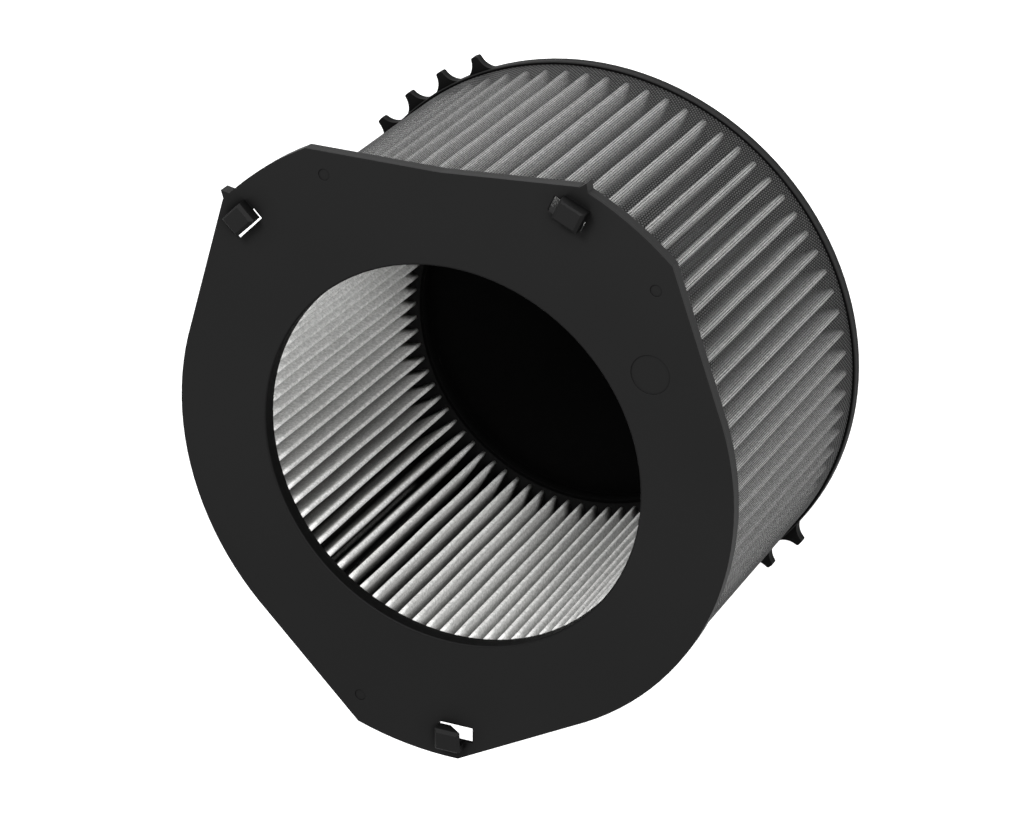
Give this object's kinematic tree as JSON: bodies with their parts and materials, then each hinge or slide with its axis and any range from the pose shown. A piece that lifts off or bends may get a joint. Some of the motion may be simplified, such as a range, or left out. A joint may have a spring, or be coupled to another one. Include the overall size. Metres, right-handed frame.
{
  "type": "round pleated air filter cartridge",
  "caption": "Cylindrical pleated air filter cartridge: closed rear cap with grip teeth, net-wrapped pleats, and a lobed outlet plate with bayonet hooks.",
  "frame": {"origin": "on the cartridge's axis, in the plane of the flat rear face that it rests on", "axes": "+Z along the axis, from the rear cap out through the air outlet; +Y is opposite the lobe that stands alone"},
  "size_m": [0.2506, 0.2796, 0.1531],
  "materials": {
    "dark_plastic": "fine matt moulded",
    "white_fleece": "soft fibre fleece",
    "grey_net": "thin woven thread",
    "black_adhesive": "smooth cured adhesive"
  },
  "bodies": {
    "root": {"outlet_plate": "dark_plastic", "pleated_medium": "white_fleece", "net_sleeve": "grey_net", "front_adhesive": "black_adhesive", "rear_adhesive": "black_adhesive", "rear_cap": "dark_plastic"}
  },
  "joints": []
}
